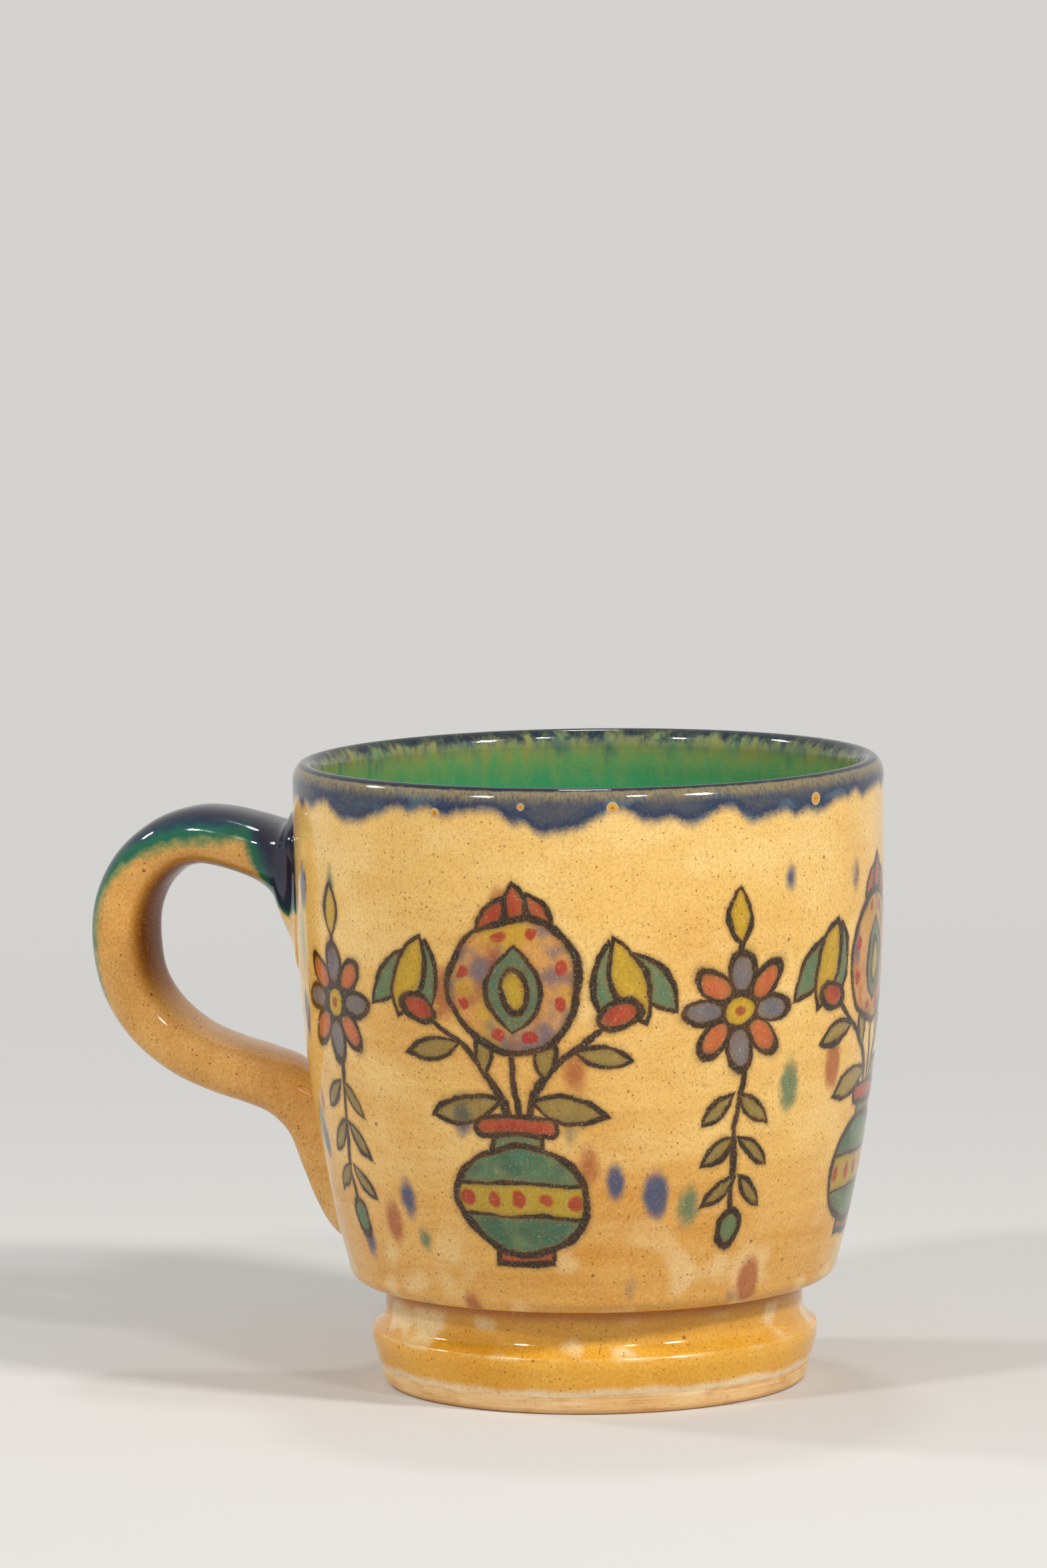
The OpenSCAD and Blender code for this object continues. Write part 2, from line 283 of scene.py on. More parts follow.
def mesh_object(name, points, faces, corner_normals=None, corner_uv=None):
    mesh = bpy.data.meshes.new(name)
    mesh.from_pydata((np.asarray(points) * MM).tolist(), [], faces)
    mesh.polygons.foreach_set("use_smooth", [True] * len(mesh.polygons))
    if corner_uv is not None:
        layer = mesh.uv_layers.new(name="OFBake")
        layer.data.foreach_set("uv", np.asarray(corner_uv, np.float32).ravel())
    if corner_normals is not None:
        mesh.normals_split_custom_set(np.asarray(corner_normals).tolist())
    mesh.update()
    return placed(name, mesh)


SLIVER = 0.003  # height of a hidden edge face on the bake map


def coat(name, first, last, strips):
    """A closed coat of glaze from one row of the grid to another. Its bake map lays the
    outer skin in equal strips, and the hidden skin in a narrow band below them."""
    rows = np.arange(first, last + 1)
    count = len(rows)
    pole = last == len(PLACES) - 1
    points, index = [], []
    for skin in (GRID[rows], CLAY[rows]):
        ids = len(points) + np.arange(count * COLUMNS).reshape(count, COLUMNS)
        points.extend(skin.reshape(-1, 3))
        if pole:  # the last row is a single point
            points[1 - COLUMNS:] = []
            ids[-1] = len(points) - 1
        index.append(ids)
    reach = PLACES[rows] - PLACES[first]
    share = reach / reach[-1]
    per = COLUMNS // strips
    hidden, gap = 0.05, 0.004
    tall = (1 - hidden) / strips
    faces, normals, uv = [], [], []
    points_a = np.array(points)

    def place(j, corner, i, outer):
        """Map position of a corner of column j (corner 0 or 1 to its right) in row i."""
        strip = j // per
        u = (j - strip * per + corner) / per
        if not outer:
            return (u, hidden * (0.1 + 0.7 * share[i]))
        return (u, hidden + strip * tall + gap + (tall - 2 * gap) * share[i])

    for outer, ids in ((True, index[0]), (False, index[1])):
        for i in range(count - 1):
            for j in range(COLUMNS):
                k = (j + 1) % COLUMNS
                corners = [(i, j, 0), (i, k, 1), (i + 1, k, 1), (i + 1, j, 0)]
                if pole and i == count - 2:
                    corners = [(i, j, 0), (i, k, 1), (i + 1, j, 0)]
                if not outer:
                    corners = corners[::-1]
                faces.append([int(ids[r, c]) for r, c, _ in corners])
                for r, c, right in corners:
                    n = NORMALS[rows[r], c]
                    normals.append(n if outer else -n)
                    uv.append(place(j, right, r, outer))
    ends = [(0, False)] if pole else [(0, False), (count - 1, True)]
    for row, upper in ends:
        for j in range(COLUMNS):
            k = (j + 1) % COLUMNS
            quad = [int(index[skin][row, c]) for skin, c in ((0, j), (1, j), (1, k), (0, k))]
            if upper:
                quad = quad[::-1]
            a, b, c = points_a[quad[:3]]
            n = np.cross(b - a, c - b)
            faces.append(quad)
            normals.extend([n / max(np.linalg.norm(n), 1e-12)] * 4)
            u, v = (j % per) / per, hidden * (0.90 if upper else 0.02)
            for du, dv in ((0, 0), (0, SLIVER), (1, SLIVER), (1, 0)):
                uv.append((u + du / per, v + dv))
    return mesh_object(name, points, faces, normals, uv)


# The handle's centre line, as in the source: out from the wall, up, outer face,
# finger face, width.
HANDLE_ROWS = np.array([
    [-0.155, 0.960, 0.80, 1.90, 1.60],
    [0.000, 0.964, 0.66, 1.48, 1.50],
    [0.080, 0.968, 0.46, 0.88, 1.32],
    [0.160, 0.974, 0.42, 0.64, 1.18],
    [0.280, 0.985, 0.45, 0.53, 1.12],
    [0.435, 0.998, 0.47, 0.48, 1.08],
    [0.575, 1.000, 0.47, 0.47, 1.05],
    [0.730, 0.975, 0.47, 0.47, 1.02],
    [0.882, 0.912, 0.48, 0.48, 1.00],
    [0.975, 0.825, 0.49, 0.49, 1.00],
    [1.000, 0.727, 0.50, 0.50, 1.00],
    [0.970, 0.618, 0.49, 0.49, 1.00],
    [0.866, 0.526, 0.48, 0.49, 1.00],
    [0.698, 0.456, 0.47, 0.48, 1.00],
    [0.510, 0.415, 0.47, 0.48, 1.00],
    [0.333, 0.387, 0.47, 0.50, 1.00],
    [0.190, 0.352, 0.45, 0.53, 1.02],
    [0.090, 0.280, 0.36, 0.50, 1.00],
    [0.045, 0.189, 0.36, 0.40, 0.94],
    [0.022, 0.098, 0.32, 0.35, 0.84],
    [0.004, 0.028, 0.23, 0.30, 0.68],
    [-0.060, -0.020, 0.12, 0.12, 0.40],
])
SPAN_STEPS, SECTION_STEPS = 9, 80
ROOT_DEPTH = 0.9  # how far the strap's skin runs on under the wall's
FILLET_REACH, FILLET_OUT = 2.6, 1.25
FILLET_FADE = (16, 4)  # it thins between these distances from the strap's end
SIDE_EASE, OUTER_EASE, FINGER_EASE = 0.80, 0.92, 0.74  # lower is squarer


def strap_stations():
    z = TAIL_Z + HANDLE_ROWS[:, 1] * (CROWN_Z - TAIL_Z)
    out = wall_r(z) + HANDLE_ROWS[:, 0] * HANDLE_OUT
    rows = np.c_[out, z, HANDLE_ROWS[:, 2:4] * STRAP_T, HANDLE_ROWS[:, 4] * STRAP_W]
    padded = np.vstack([rows[0], rows, rows[-1]])
    made = []
    for i in range(len(rows) - 1):
        p0, p1, p2, p3 = padded[i:i + 4]
        for s in np.arange(SPAN_STEPS) / SPAN_STEPS:
            made.append((2 * p1 + (p2 - p0) * s + (2 * p0 - 5 * p1 + 4 * p2 - p3) * s * s
                         + (3 * p1 - p0 - 3 * p2 + p3) * s**3) / 2)
    return np.array(made)


def eased(v, power):
    return np.sign(v) * np.abs(v) ** power


def strap(name):
    """The strap's coat of glaze, cut off just under the wall's skin, with a small fillet
    of glaze where it meets the wall. strap_place keeps, for its colours, the distance
    along the strap, how far towards the outer face, and the distance from the wall."""
    s = strap_stations()
    run = np.gradient(s[:, :2], axis=0)
    run /= np.linalg.norm(run, axis=1)[:, None]
    along = np.r_[0, np.cumsum(hops(s[:, :2]))]
    along -= np.interp(0.0, s[:12, 0] - wall_r(s[:12, 1]), along[:12])
    a = np.arange(SECTION_STEPS) * 2 * pi / SECTION_STEPS
    side = (s[:, 4:5] / 2 + GLAZE_T) * eased(np.cos(a), SIDE_EASE)
    face = np.where(
        np.sin(a) > 0,
        (s[:, 2:3] + GLAZE_T) * eased(np.sin(a), OUTER_EASE),
        (s[:, 3:4] + GLAZE_T) * eased(np.sin(a), FINGER_EASE),
    )
    x = -(s[:, 0:1] - run[:, 1:2] * face)
    z = s[:, 1:2] + run[:, 0:1] * face
    points = np.stack([x, side, z], axis=2)

    # a slightly uneven pull along the strap
    sag = (
        0.05
        + 0.05 * (1 + np.sin(0.21 * along[:, None] + 2.0 * a))
        + 0.04 * (1 + np.sin(0.11 * along[:, None] - a))
    )
    normal = -skin_normals(points)
    points = points - normal * sag[:, :, None]

    def from_wall(p):
        return np.hypot(p[..., 0], p[..., 1]) - wall_r(p[..., 2])

    q = from_wall(points)
    push = np.clip(1 - q / FILLET_REACH, 0, 1.6) ** 2 * FILLET_OUT
    near_end = soft_step(along[:, None], *(along[-1] - np.array(FILLET_FADE)))
    points = points + normal * (push * (1 - 0.75 * near_end))[:, :, None]
    q = from_wall(points)
    shown = np.where(q.max(axis=1) > -ROOT_DEPTH)[0]
    lo, hi = shown[0], shown[-1]
    points, q, along = points[lo:hi + 1], q[lo:hi + 1], along[lo:hi + 1]
    rho = np.hypot(points[..., 0], points[..., 1])
    floor_r = wall_r(points[..., 2]) - ROOT_DEPTH
    lift = np.maximum(floor_r / np.maximum(rho, 1e-6), 1.0)
    points = points * np.stack([lift, lift, np.ones_like(lift)], axis=2)

    rows = len(points)
    flat = list(points.reshape(-1, 3))
    ids = np.arange(rows * SECTION_STEPS).reshape(rows, SECTION_STEPS)
    faces, uv = [], []
    share = (along - along[0]) / (along[-1] - along[0])
    for i in range(rows - 1):
        for j in range(SECTION_STEPS):
            k = (j + 1) % SECTION_STEPS
            corners = ((i, j, j), (i + 1, j, j), (i + 1, k, j + 1), (i, k, j + 1))
            faces.append([int(ids[r, c]) for r, c, _ in corners])
            uv.extend((0.01 + 0.98 * share[r], 0.02 + 0.96 * right / SECTION_STEPS)
                      for r, _, right in corners)
    for row, start in ((0, True), (rows - 1, False)):
        flat.append(points[row].mean(axis=0))
        middle = len(flat) - 1
        for j in range(SECTION_STEPS):
            k = (j + 1) % SECTION_STEPS
            tri = [int(ids[row, j]), middle, int(ids[row, k])]
            faces.append(tri[::-1] if start else tri)
            v = 0.004 if start else 0.992
            uv.extend([(0.1, v), (0.1005, v + SLIVER), (0.101, v)])
    obj = mesh_object(name, flat, faces, None, uv)
    place = np.c_[
        np.repeat(along, SECTION_STEPS), np.tile(np.sin(a), rows), from_wall(points).ravel()]
    place = np.vstack([place, place[:1], place[-1:]])
    obj.data.attributes.new("strap_place", "FLOAT_VECTOR", "POINT").data.foreach_set(
        "vector", place.astype(np.float32).ravel())
    return obj


# ---- material nodes
def rgb(*shown):
    """A colour as it shows, 0 to 255, in the linear values that nodes take."""
    shares = [c / 255 for c in shown]
    return [c / 12.92 if c <= 0.04045 else ((c + 0.055) / 1.055) ** 2.4 for c in shares]


class Value:
    """A number in a node tree, so that node maths reads as plain maths."""

    def __init__(self, net, socket):
        self.net, self.socket = net, socket

    def __add__(self, o): return self.net.math("ADD", self, o)
    def __sub__(self, o): return self.net.math("SUBTRACT", self, o)
    def __rsub__(self, o): return self.net.math("SUBTRACT", o, self)
    def __mul__(self, o): return self.net.math("MULTIPLY", self, o)
    def __neg__(self): return self.net.math("MULTIPLY", self, -1.0)
    def __abs__(self): return self.net.math("ABSOLUTE", self)


class Net:
    """A node tree under construction. It names kinds of node without ShaderNode."""

    def __init__(self, owner):
        owner.use_nodes = True
        self.tree = owner.node_tree
        self.tree.nodes.clear()

    def put(self, socket, value):
        if isinstance(value, Value):
            value = value.socket
        if isinstance(value, bpy.types.NodeSocket):
            self.tree.links.new(value, socket)
        elif socket.type == "RGBA":
            socket.default_value = (*value, 1.0)
        else:
            socket.default_value = value

    def node(self, kind, settings=None, **inputs):
        made = self.tree.nodes.new("ShaderNode" + kind)
        for key, value in (settings or {}).items():
            setattr(made, key, value)
        self.give(made, **inputs)
        return made

    def give(self, node, **inputs):
        for name, value in inputs.items():
            self.put(node.inputs[name.replace("_", " ")], value)

    def chain(self, kind, *values, **settings):
        """A node whose inputs are given in their order."""
        made = self.node(kind, settings)
        for socket, value in zip(made.inputs, values):
            self.put(socket, value)
        return made.outputs[0]

    def math(self, op, *values, clamp=False):
        return Value(self, self.chain("Math", *values, operation=op, use_clamp=clamp))

    def mix_shaders(self, share, a, b):
        return self.chain("MixShader", share, a.outputs[0], b.outputs[0])


class Material(Net):
    """A material with one shader, and the object's own coordinates in millimetres."""

    def __init__(self, name):
        self.material = bpy.data.materials.new(name)
        super().__init__(self.material)
        self.shader = self.node("BsdfPrincipled")
        self.out = self.node("OutputMaterial", Surface=self.shader.outputs[0])
        coords = self.node("TexCoord").outputs["Object"]
        self.place = self.node(
            "VectorMath", {"operation": "SCALE"}, Vector=coords, Scale=1 / MM).outputs[0]
        self.x, self.y, self.z = self.split(self.place)

    def split(self, vector):
        made = self.node("SeparateXYZ", Vector=vector)
        return [Value(self, o) for o in made.outputs]

    def turn(self):
        """The angle round the mug's axis."""
        return self.math("ARCTAN2", self.y, self.x)

    def stretched(self, x, y, z):
        return self.chain("VectorMath", self.place, (x, y, z), operation="MULTIPLY")

    def noise(self, scale, detail=3.0, rough=0.6, tall=None, at=None):
        """Soft noise about 0.5. tall is how fast it changes with height, by its scale."""
        if tall is not None:
            at = self.stretched(1.0, 1.0, tall)
        made = self.node("TexNoise", Vector=at or self.place, Scale=scale, Detail=detail,
                         Roughness=rough)
        return Value(self, made.outputs[0])

    def noise_vector(self, scale, detail):
        made = self.node("TexNoise", Vector=self.place, Scale=scale, Detail=detail)
        return self.split(made.outputs[1])

    def cells(self, scale, at=None):
        """Distance from the nearest of a scatter of points, and that point's three draws."""
        made = self.node("TexVoronoi", Vector=at or self.place, Scale=scale)
        return Value(self, made.outputs["Distance"]), self.split(made.outputs["Color"])

    def bump(self, height, distance_mm, strength, under=None):
        made = self.node("Bump", Height=height, Distance=distance_mm * MM, Strength=strength)
        if under is not None:
            self.give(made, Normal=under)
        return made.outputs[0]


def step(value, low, high, to_low=0.0, to_high=1.0):
    """Runs smoothly from to_low to to_high as value goes from low to high."""
    return Value(value.net, value.net.chain(
        "MapRange", value, low, high, to_low, to_high, interpolation_type="SMOOTHSTEP"))


def mix(share, a, b):
    """The colour a, with b laid over it by share."""
    made = share.net.node("Mix", {"data_type": "RGBA"})
    for i, value in ((0, share), (6, a), (7, b)):
        share.net.put(made.inputs[i], value)
    return made.outputs[2]


def least(a, b): return a.net.math("MINIMUM", a, b)
def most(a, b): return a.net.math("MAXIMUM", a, b)
def sine(a): return a.net.math("SINE", a)
def cosine(a): return a.net.math("COSINE", a)
def times_plus(a, b, c): return a.net.math("MULTIPLY_ADD", a, b, c)
def length(u, v): return u.net.math("SQRT", times_plus(u, u, v * v))
def wrap(a, half): return a.net.math("WRAP", a, half, -half)
def clamped(a): return a.net.math("ADD", a, 0.0, clamp=True)


def over(colour, *layers):
    """A colour with others laid over it in turn, each given as its share and itself."""
    for share, hue in layers:
        colour = mix(share, colour, hue)
    return colour


# the wall's glaze and the foot's, with the grain of the body under them
CREAM = rgb(240, 194, 108)
PALE_CREAM = rgb(252, 217, 144)
HONEY = rgb(209, 143, 50)
CLOUD = rgb(248, 222, 166)
GRAIN = rgb(168, 106, 42)
SPECK = rgb(112, 62, 20)
AMBER = rgb(228, 162, 42)
LIGHT_AMBER = rgb(234, 175, 64)
# pooled glaze under the shoulder, with painted shade there too
POOLED_AND_SHADED_AMBER = rgb(160, 80, 6)
ROLLED_EDGE = rgb(255, 234, 196)
# the lip and the lining
NAVY = rgb(16, 24, 44)
COBALT = rgb(14, 44, 80)
SMOKE = rgb(68, 92, 110)
SLATE = rgb(84, 85, 88)
COMBED = rgb(142, 126, 88)
HOLE_RING = rgb(196, 178, 142)
HOLE_HONEY = rgb(210, 150, 54)
JADE = rgb(70, 156, 102)
DEEP_JADE = rgb(40, 116, 82)
LEAF_GREEN = rgb(124, 160, 92)
STRAW = rgb(156, 148, 78)
STEEL = rgb(62, 84, 98)
# the strap
STRAP_HONEY = rgb(230, 174, 92)
STRAP_BROWN = rgb(214, 154, 70)
STRAP_CLOUD = rgb(224, 180, 116)
# the finger face: painted light on its lower part that faces up, painted shade on its upper
# part that faces down and away
FINGER_PAINTED_LIGHT = rgb(230, 192, 138)
FINGER_PAINTED_SHADE = rgb(96, 46, 4)
THIN_TEAL = rgb(84, 126, 76)
TEAL = rgb(18, 94, 68)
DARK_TEAL = rgb(14, 58, 70)
MIDNIGHT = rgb(24, 22, 46)
# the painting
INK = rgb(22, 14, 6)
SEPIA = rgb(56, 32, 12)
LINE_HALO = rgb(112, 84, 34)
OLIVE = rgb(88, 92, 34)
GREEN = rgb(22, 110, 78)
TURQUOISE = rgb(46, 110, 82)
DEEP_TURQUOISE = rgb(20, 92, 70)
YELLOW = rgb(196, 156, 18)
OCHRE = rgb(206, 142, 70)
RUST = rgb(160, 70, 26)
CORAL = rgb(166, 20, 12)
DABBED_BLUE = rgb(34, 70, 110)
PETAL_RED = rgb(184, 62, 26)
PETAL_BLUE = rgb(34, 74, 108)
DRIP_GREEN = rgb(132, 168, 136)
# bare clay
CLAY_STAIN = rgb(196, 122, 62)
CLAY_RING = rgb(184, 124, 72)
CLAY_SCUFF = rgb(255, 232, 192)
CLAY_BROWN = rgb(206, 136, 74)
CLAY_DIRT = rgb(206, 138, 72)

GLAZE_IOR, GLAZE_SHINE = 1.5, 0.42
# Specks of iron: scatter per mm, the draw that leaves one out, largest size, strength.
SPECKS = ((1.45, 0.50, 0.24, 0.62), (0.30, 0.45, 0.095, 0.70))


# ---- glazes
# Painters take a material, and give its colour. Heights are above the table, in mm.
def grained(net, colour, amount=1.0):
    """The salt and pepper of a stoneware body under its glaze: a fine grain all over,
    small brown specks of iron, and here and there a larger one."""
    grain = net.noise(2.4, 3.0, 0.75)
    colour = over(
        colour,
        (step(grain, 0.46, 0.70) * (0.42 * amount), GRAIN),
        (step(grain, 0.46, 0.28) * (0.26 * amount), CLOUD),
    )
    for scale, fewest, largest, strength in SPECKS:
        near, pick = net.cells(scale)
        size = step(pick[0], fewest, 1.0, 0.0, largest)
        dots = step(near - size, 0.03, -0.03) * step(pick[0], fewest, fewest + 0.05)
        colour = mix(dots * (strength * amount), colour, SPECK)
    return colour


def ground(net):
    """The clear honey glaze of the wall: paler above, warmer below, with soft pale spots low
    on the wall, just above the shoulder."""
    slow = net.noise(0.032, 2.0, 0.55)
    streak = net.noise(1.0, at=net.stretched(0.03, 0.03, 0.50))
    warm = step(net.z, 88.0, 14.0) * 0.62 + (slow - 0.5) * 1.7 + (streak - 0.5) * 0.80
    pale = net.noise(0.060, tall=1.7)
    cloud = net.noise(0.125, 1.0, 0.5)
    return over(
        CREAM,
        (clamped(warm), HONEY),
        (step(pale, 0.42, 0.66) * step(net.z, 20.0, 54.0, 0.10, 0.52), PALE_CREAM),
        (step(cloud, 0.52, 0.68) * step(net.z, 34.0, 20.0) * 0.50, CLOUD),
    )


DAB_MM = 9.0  # width of one dab of the brush under the lip
DABS_Z = 90.1  # where the dabs' lower edges come highest
HOLES, HOLE_Z = 17, 89.0  # places round the lip for a pinhole, and the lowest height


def pinholes(net, colour):
    """A few round places where the band drew back to honey, dark in the middle."""
    place = net.turn() * (HOLES / (2 * pi))
    number = net.math("ROUND", place)
    drawn = net.node("TexWhiteNoise", {"noise_dimensions": "1D"}, W=number)
    pick = net.split(drawn.outputs["Color"])
    pitch = 2 * pi * RIM_R / HOLES
    aside = (place - number) * pitch - (pick[0] - 0.5) * (pitch * 0.7)
    off = length(aside, net.z - HOLE_Z - pick[1] * 2.7)
    size = step(pick[2], 0.20, 1.00, -0.3, 0.80)
    ring = off - size
    return over(
        colour,
        (step(ring, 0.32, 0.06) * step(size, 0.1, 0.5), HOLE_RING),
        (step(ring, 0.12, -0.08), HOLE_HONEY),
        (step(off, 0.26, 0.10) * step(size, 0.2, 0.5) * 0.7, SPECK),
    )


def rim_band(net, colour):
    """Cobalt dabbed round under the lip: blunt dabs with soft lower edges, smoky where
    they are thin, combed out to tan at the top."""
    slow = net.noise(0.050, 1.0, 0.5, tall=0.0)
    warp = net.noise(0.090, 0.0, 0.5, tall=0.0)
    fray = net.noise(0.55, 2.0, tall=0.4)
    grain = net.noise(2.6, 2.0, 0.7)
    smear = net.noise(0.17, tall=2.4)
    comb = net.noise(2.6, 2.0, 0.65, tall=0.12)
    dab = sine(net.turn() * (RIM_R * pi / DAB_MM) + warp * 7.0)
    lower = DABS_Z - dab * dab * 0.9 - step(slow, 0.38, 0.60) * 2.0
    lower = lower - (warp - 0.5) * 2.4 - (fray - 0.5) * 1.1
    above = net.z - lower + (grain - 0.5) * 0.9
    thick = step(smear + (warp - 0.5) * 0.4, 0.30, 0.52) * step(above, -0.6, 0.9, 0.55, 1.0)
    thin = step(above, 0.5, 2.4) * step(smear + (slow - 0.5) * 0.8, 0.40, 0.62)
    blue = over(
        SMOKE,
        (thick, COBALT),
        (step(grain, 0.50, 0.74) * 0.34, SMOKE),
        (thin * 0.62, SLATE),
    )
    opacity = step(above, -1.2, 1.0) * step(grain, 0.20, 0.60, 0.92, 1.0)
    fringe = step(net.z + (comb - 0.5) * 1.5 + (grain - 0.5) * 1.2, 90.7, 92.6)
    fringe = fringe * step(comb, 0.30, 0.62, 0.45, 0.94)
    return pinholes(net, over(colour, (opacity, blue), (fringe, COMBED)))


def lining(net):
    """Copper green inside: navy at the crest, straw and blue streaks where it thins
    below, then leaf green running down into jade."""
    fall = net.noise(0.48, 2.0, tall=0.36)
    drip = net.noise(0.22, 2.0, tall=0.45)
    slow = net.noise(0.05)
    grain = net.noise(2.2, 2.0, 0.7)
    blotch = net.noise(0.55, 2.0, tall=0.6)
    depth = CUP_H - net.z + (grain - 0.5) * 0.9
    ragged = depth + (fall - 0.5) * 8.0
    smoky = step(depth + (drip - 0.5) * 12.0, 5.2, 0.4) * step(fall, 0.36, 0.64, 0.15, 0.70)
    crest = step(depth - (fall - 0.46) * 2.0 - (blotch - 0.5) * 1.6, 1.7, 0.3)
    return over(
        JADE,
        (step(depth + (slow - 0.5) * 14.0, 6.0, 30.0), DEEP_JADE),
        (step(ragged, 9.5, 3.8) * 0.85, LEAF_GREEN),
        (step(ragged, 5.4, 1.6) * step(drip, 0.34, 0.60, 0.2, 0.85), STRAW),
        (smoky, STEEL),
        (step(depth, 3.6, 0.8) * step(blotch, 0.48, 0.64) * 0.75, COBALT),
        (crest * 0.88, NAVY),
        (step(grain, 0.50, 0.75) * 0.26, DEEP_JADE),
    )


CREST_Z = 92.62  # the dark line along the top of the lip begins here
LINING_R = 42.15  # and the lining inside this radius


def main_rim(net):
    """One painter for the whole lip: the outside's band, the dark crest, the lining."""
    outside = rim_band(net, grained(net, root_paint(net, ground(net))))
    wavy = net.z + (net.noise(0.8, 2.0) - 0.5) * 0.35
    inward = step(length(net.x, net.y), LINING_R, LINING_R - 0.4)
    return over(outside, (step(wavy, CREST_Z, CREST_Z + 0.3), NAVY), (inward, lining(net)))


def main_foot(net):
    """Amber glaze that pools dark under the shoulder, darkened there by painted shade as
    well, and rolls up pale at its edge.
    """
    slow = net.noise(0.07)
    cloud = net.noise(0.125, 1.0, 0.5)
    broken = net.noise(0.13)
    pool_and_shade = step(net.z + (slow - 0.5) * 1.5, 12.9, 15.3)
    clouds = step(net.z, 7.8, 9.6) * step(net.z, 14.6, 12.8)
    # a pale line along the ridge: thin dry glaze, and partly a painted highlight
    ridge = step(abs(net.z - RIDGE_Z + 0.1), 0.45, 0.08) * step(broken, 0.44, 0.60)
    above = net.z - BARE_H
    for high, count, start in LINE_WAVES:
        above = above - (sine(times_plus(net.turn(), count, start)) + 1.0) * high
    edge = step(above + (broken - 0.5) * 1.8, 1.70, 0.35) * step(slow, 0.30, 0.58, 0.55, 0.98)
    return grained(net, over(
        AMBER,
        (step(slow, 0.35, 0.65), LIGHT_AMBER),
        # the glaze's own pooling under the shoulder, and painted shade there
        (pool_and_shade * 0.88, POOLED_AND_SHADED_AMBER),
        (step(cloud, 0.51, 0.62) * clouds * 0.78, CLOUD),
        (ridge * 0.45, CLOUD),
        (edge, ROLLED_EDGE),
    ), 0.9)


def foot_rough(net):
    """The glaze is thin and dry along the turned ridge, in broken stretches."""
    broken = net.noise(0.22, 2.0)
    near = step(abs(net.z - RIDGE_Z), 0.40, 0.10)
    return near * step(broken, 0.40, 0.60, 0.16, 0.36)


def strap_place(net):
    """Distance along the strap, how far to its outer face, distance from the wall."""
    kept = net.node("Attribute", {"attribute_name": "strap_place"})
    return net.split(kept.outputs["Vector"])


def finger_side(net, outer):
    return step(outer + (net.noise(0.09) - 0.5) * 0.3, -0.36, -0.90)


def main_handle(net):
    """Honey glaze with cobalt over copper green brushed along the back of the strap.
    The paint covers the whole strap at the wall, and narrows out along its outer edge."""
    run, outer, off_wall = strap_place(net)
    slow = net.noise(0.09)
    fine = net.noise(0.6, 3.0, 0.65)
    pale = net.noise(0.055, 1.0, 0.5, tall=1.3)
    finger_light_and_shade = finger_side(net, outer)
    free = step(off_wall, 2.0, 8.0)
    colour = grained(net, over(
        STRAP_HONEY,
        (step(slow, 0.38, 0.66), STRAP_BROWN),
        (step(pale, 0.52, 0.68) * 0.40, STRAP_CLOUD),
        # painted light on the finger face's lower, upward part; painted shade on its upper
        # part, fading out near the wall
        (finger_light_and_shade * step(net.z, 60.0, 48.0) * 0.55, FINGER_PAINTED_LIGHT),
        (finger_light_and_shade * free * step(net.z, 50.0, 64.0) * 0.92, FINGER_PAINTED_SHADE),
        (step(off_wall, 6.0, 0.6) * 0.95, ground(net)),
    ), 1.25)
    # the paint's edge runs towards the outer face, and round the root to the finger face
    limit = step(run, 6.0, 14.0, 0.30, 0.0) + step(run, 18.0, 36.0, 0.0, 0.62)
    limit = limit + step(run, 34.0, 72.0, 0.0, 1.20)
    root = (outer * 4.3 + 6.4 - run) * 0.24 - step(net.z, 73.0, 67.0) * 2.4
    paint = most(outer - limit, root) + (slow - 0.5) * 0.44 + (fine - 0.5) * 0.40
    paint = paint - step(off_wall + (fine - 0.5) * 0.5, 1.0, 0.15) * 1.3
    return over(
        colour,
        (step(paint, -0.30, 0.04) * 0.80, THIN_TEAL),
        (step(paint, -0.06, 0.18), TEAL),
        (step(paint, 0.24, 0.58), DARK_TEAL),
        (step(paint, 0.42, 0.86) * step(outer, -0.75, 0.15, 0.15, 1.0), MIDNIGHT),
    )


def handle_shine(net):
    """The finger face is duller where it stands upright: its glaze soaked in thin."""
    return 0.46 - finger_side(net, strap_place(net)[1]) * step(net.z, 48.0, 60.0) * 0.40


# ---- the painted frieze
class Spot:
    """A point (x along the wall, y up it) seen from a motif's own middle, tilted. Each
    form is a rough distance in mm, negative inside it."""

    def __init__(self, x, y):
        self.x, self.y = x, y

    def at(self, cx, cy, tilt=0.0):
        if tilt == 0.0:
            return Spot(self.x - cx, self.y - cy)
        c, s = cos(radians(tilt)), sin(radians(tilt))
        x = times_plus(self.x, c, times_plus(self.y, -s, -(cx * c - cy * s)))
        y = times_plus(self.x, s, times_plus(self.y, c, -(cx * s + cy * c)))
        return Spot(x, y)

    def oval(self, a, b):
        q = length(self.x * (1 / a), self.y * (1 / b))
        return times_plus(q, min(a, b), -min(a, b))

    def leaf(self, half_long, half_wide):
        t = self.y * (1 / half_long)
        return abs(self.x) + times_plus(t * t, half_wide, -half_wide)

    def box(self, a, b):
        return most(abs(self.x) - a, abs(self.y) - b)

    def pill(self, a, b):
        """A flat form with round ends, a and b its half sizes."""
        return length(most(abs(self.x) - (a - b), 0.0), self.y) - b

    def sprung(self, x, y, tilt, half_long, half_wide):
        """A leaf that springs from a point, tilted from upright towards +x."""
        t = radians(tilt)
        tip = self.at(x + sin(t) * half_long, y + cos(t) * half_long, tilt)
        return tip.leaf(half_long, half_wide)


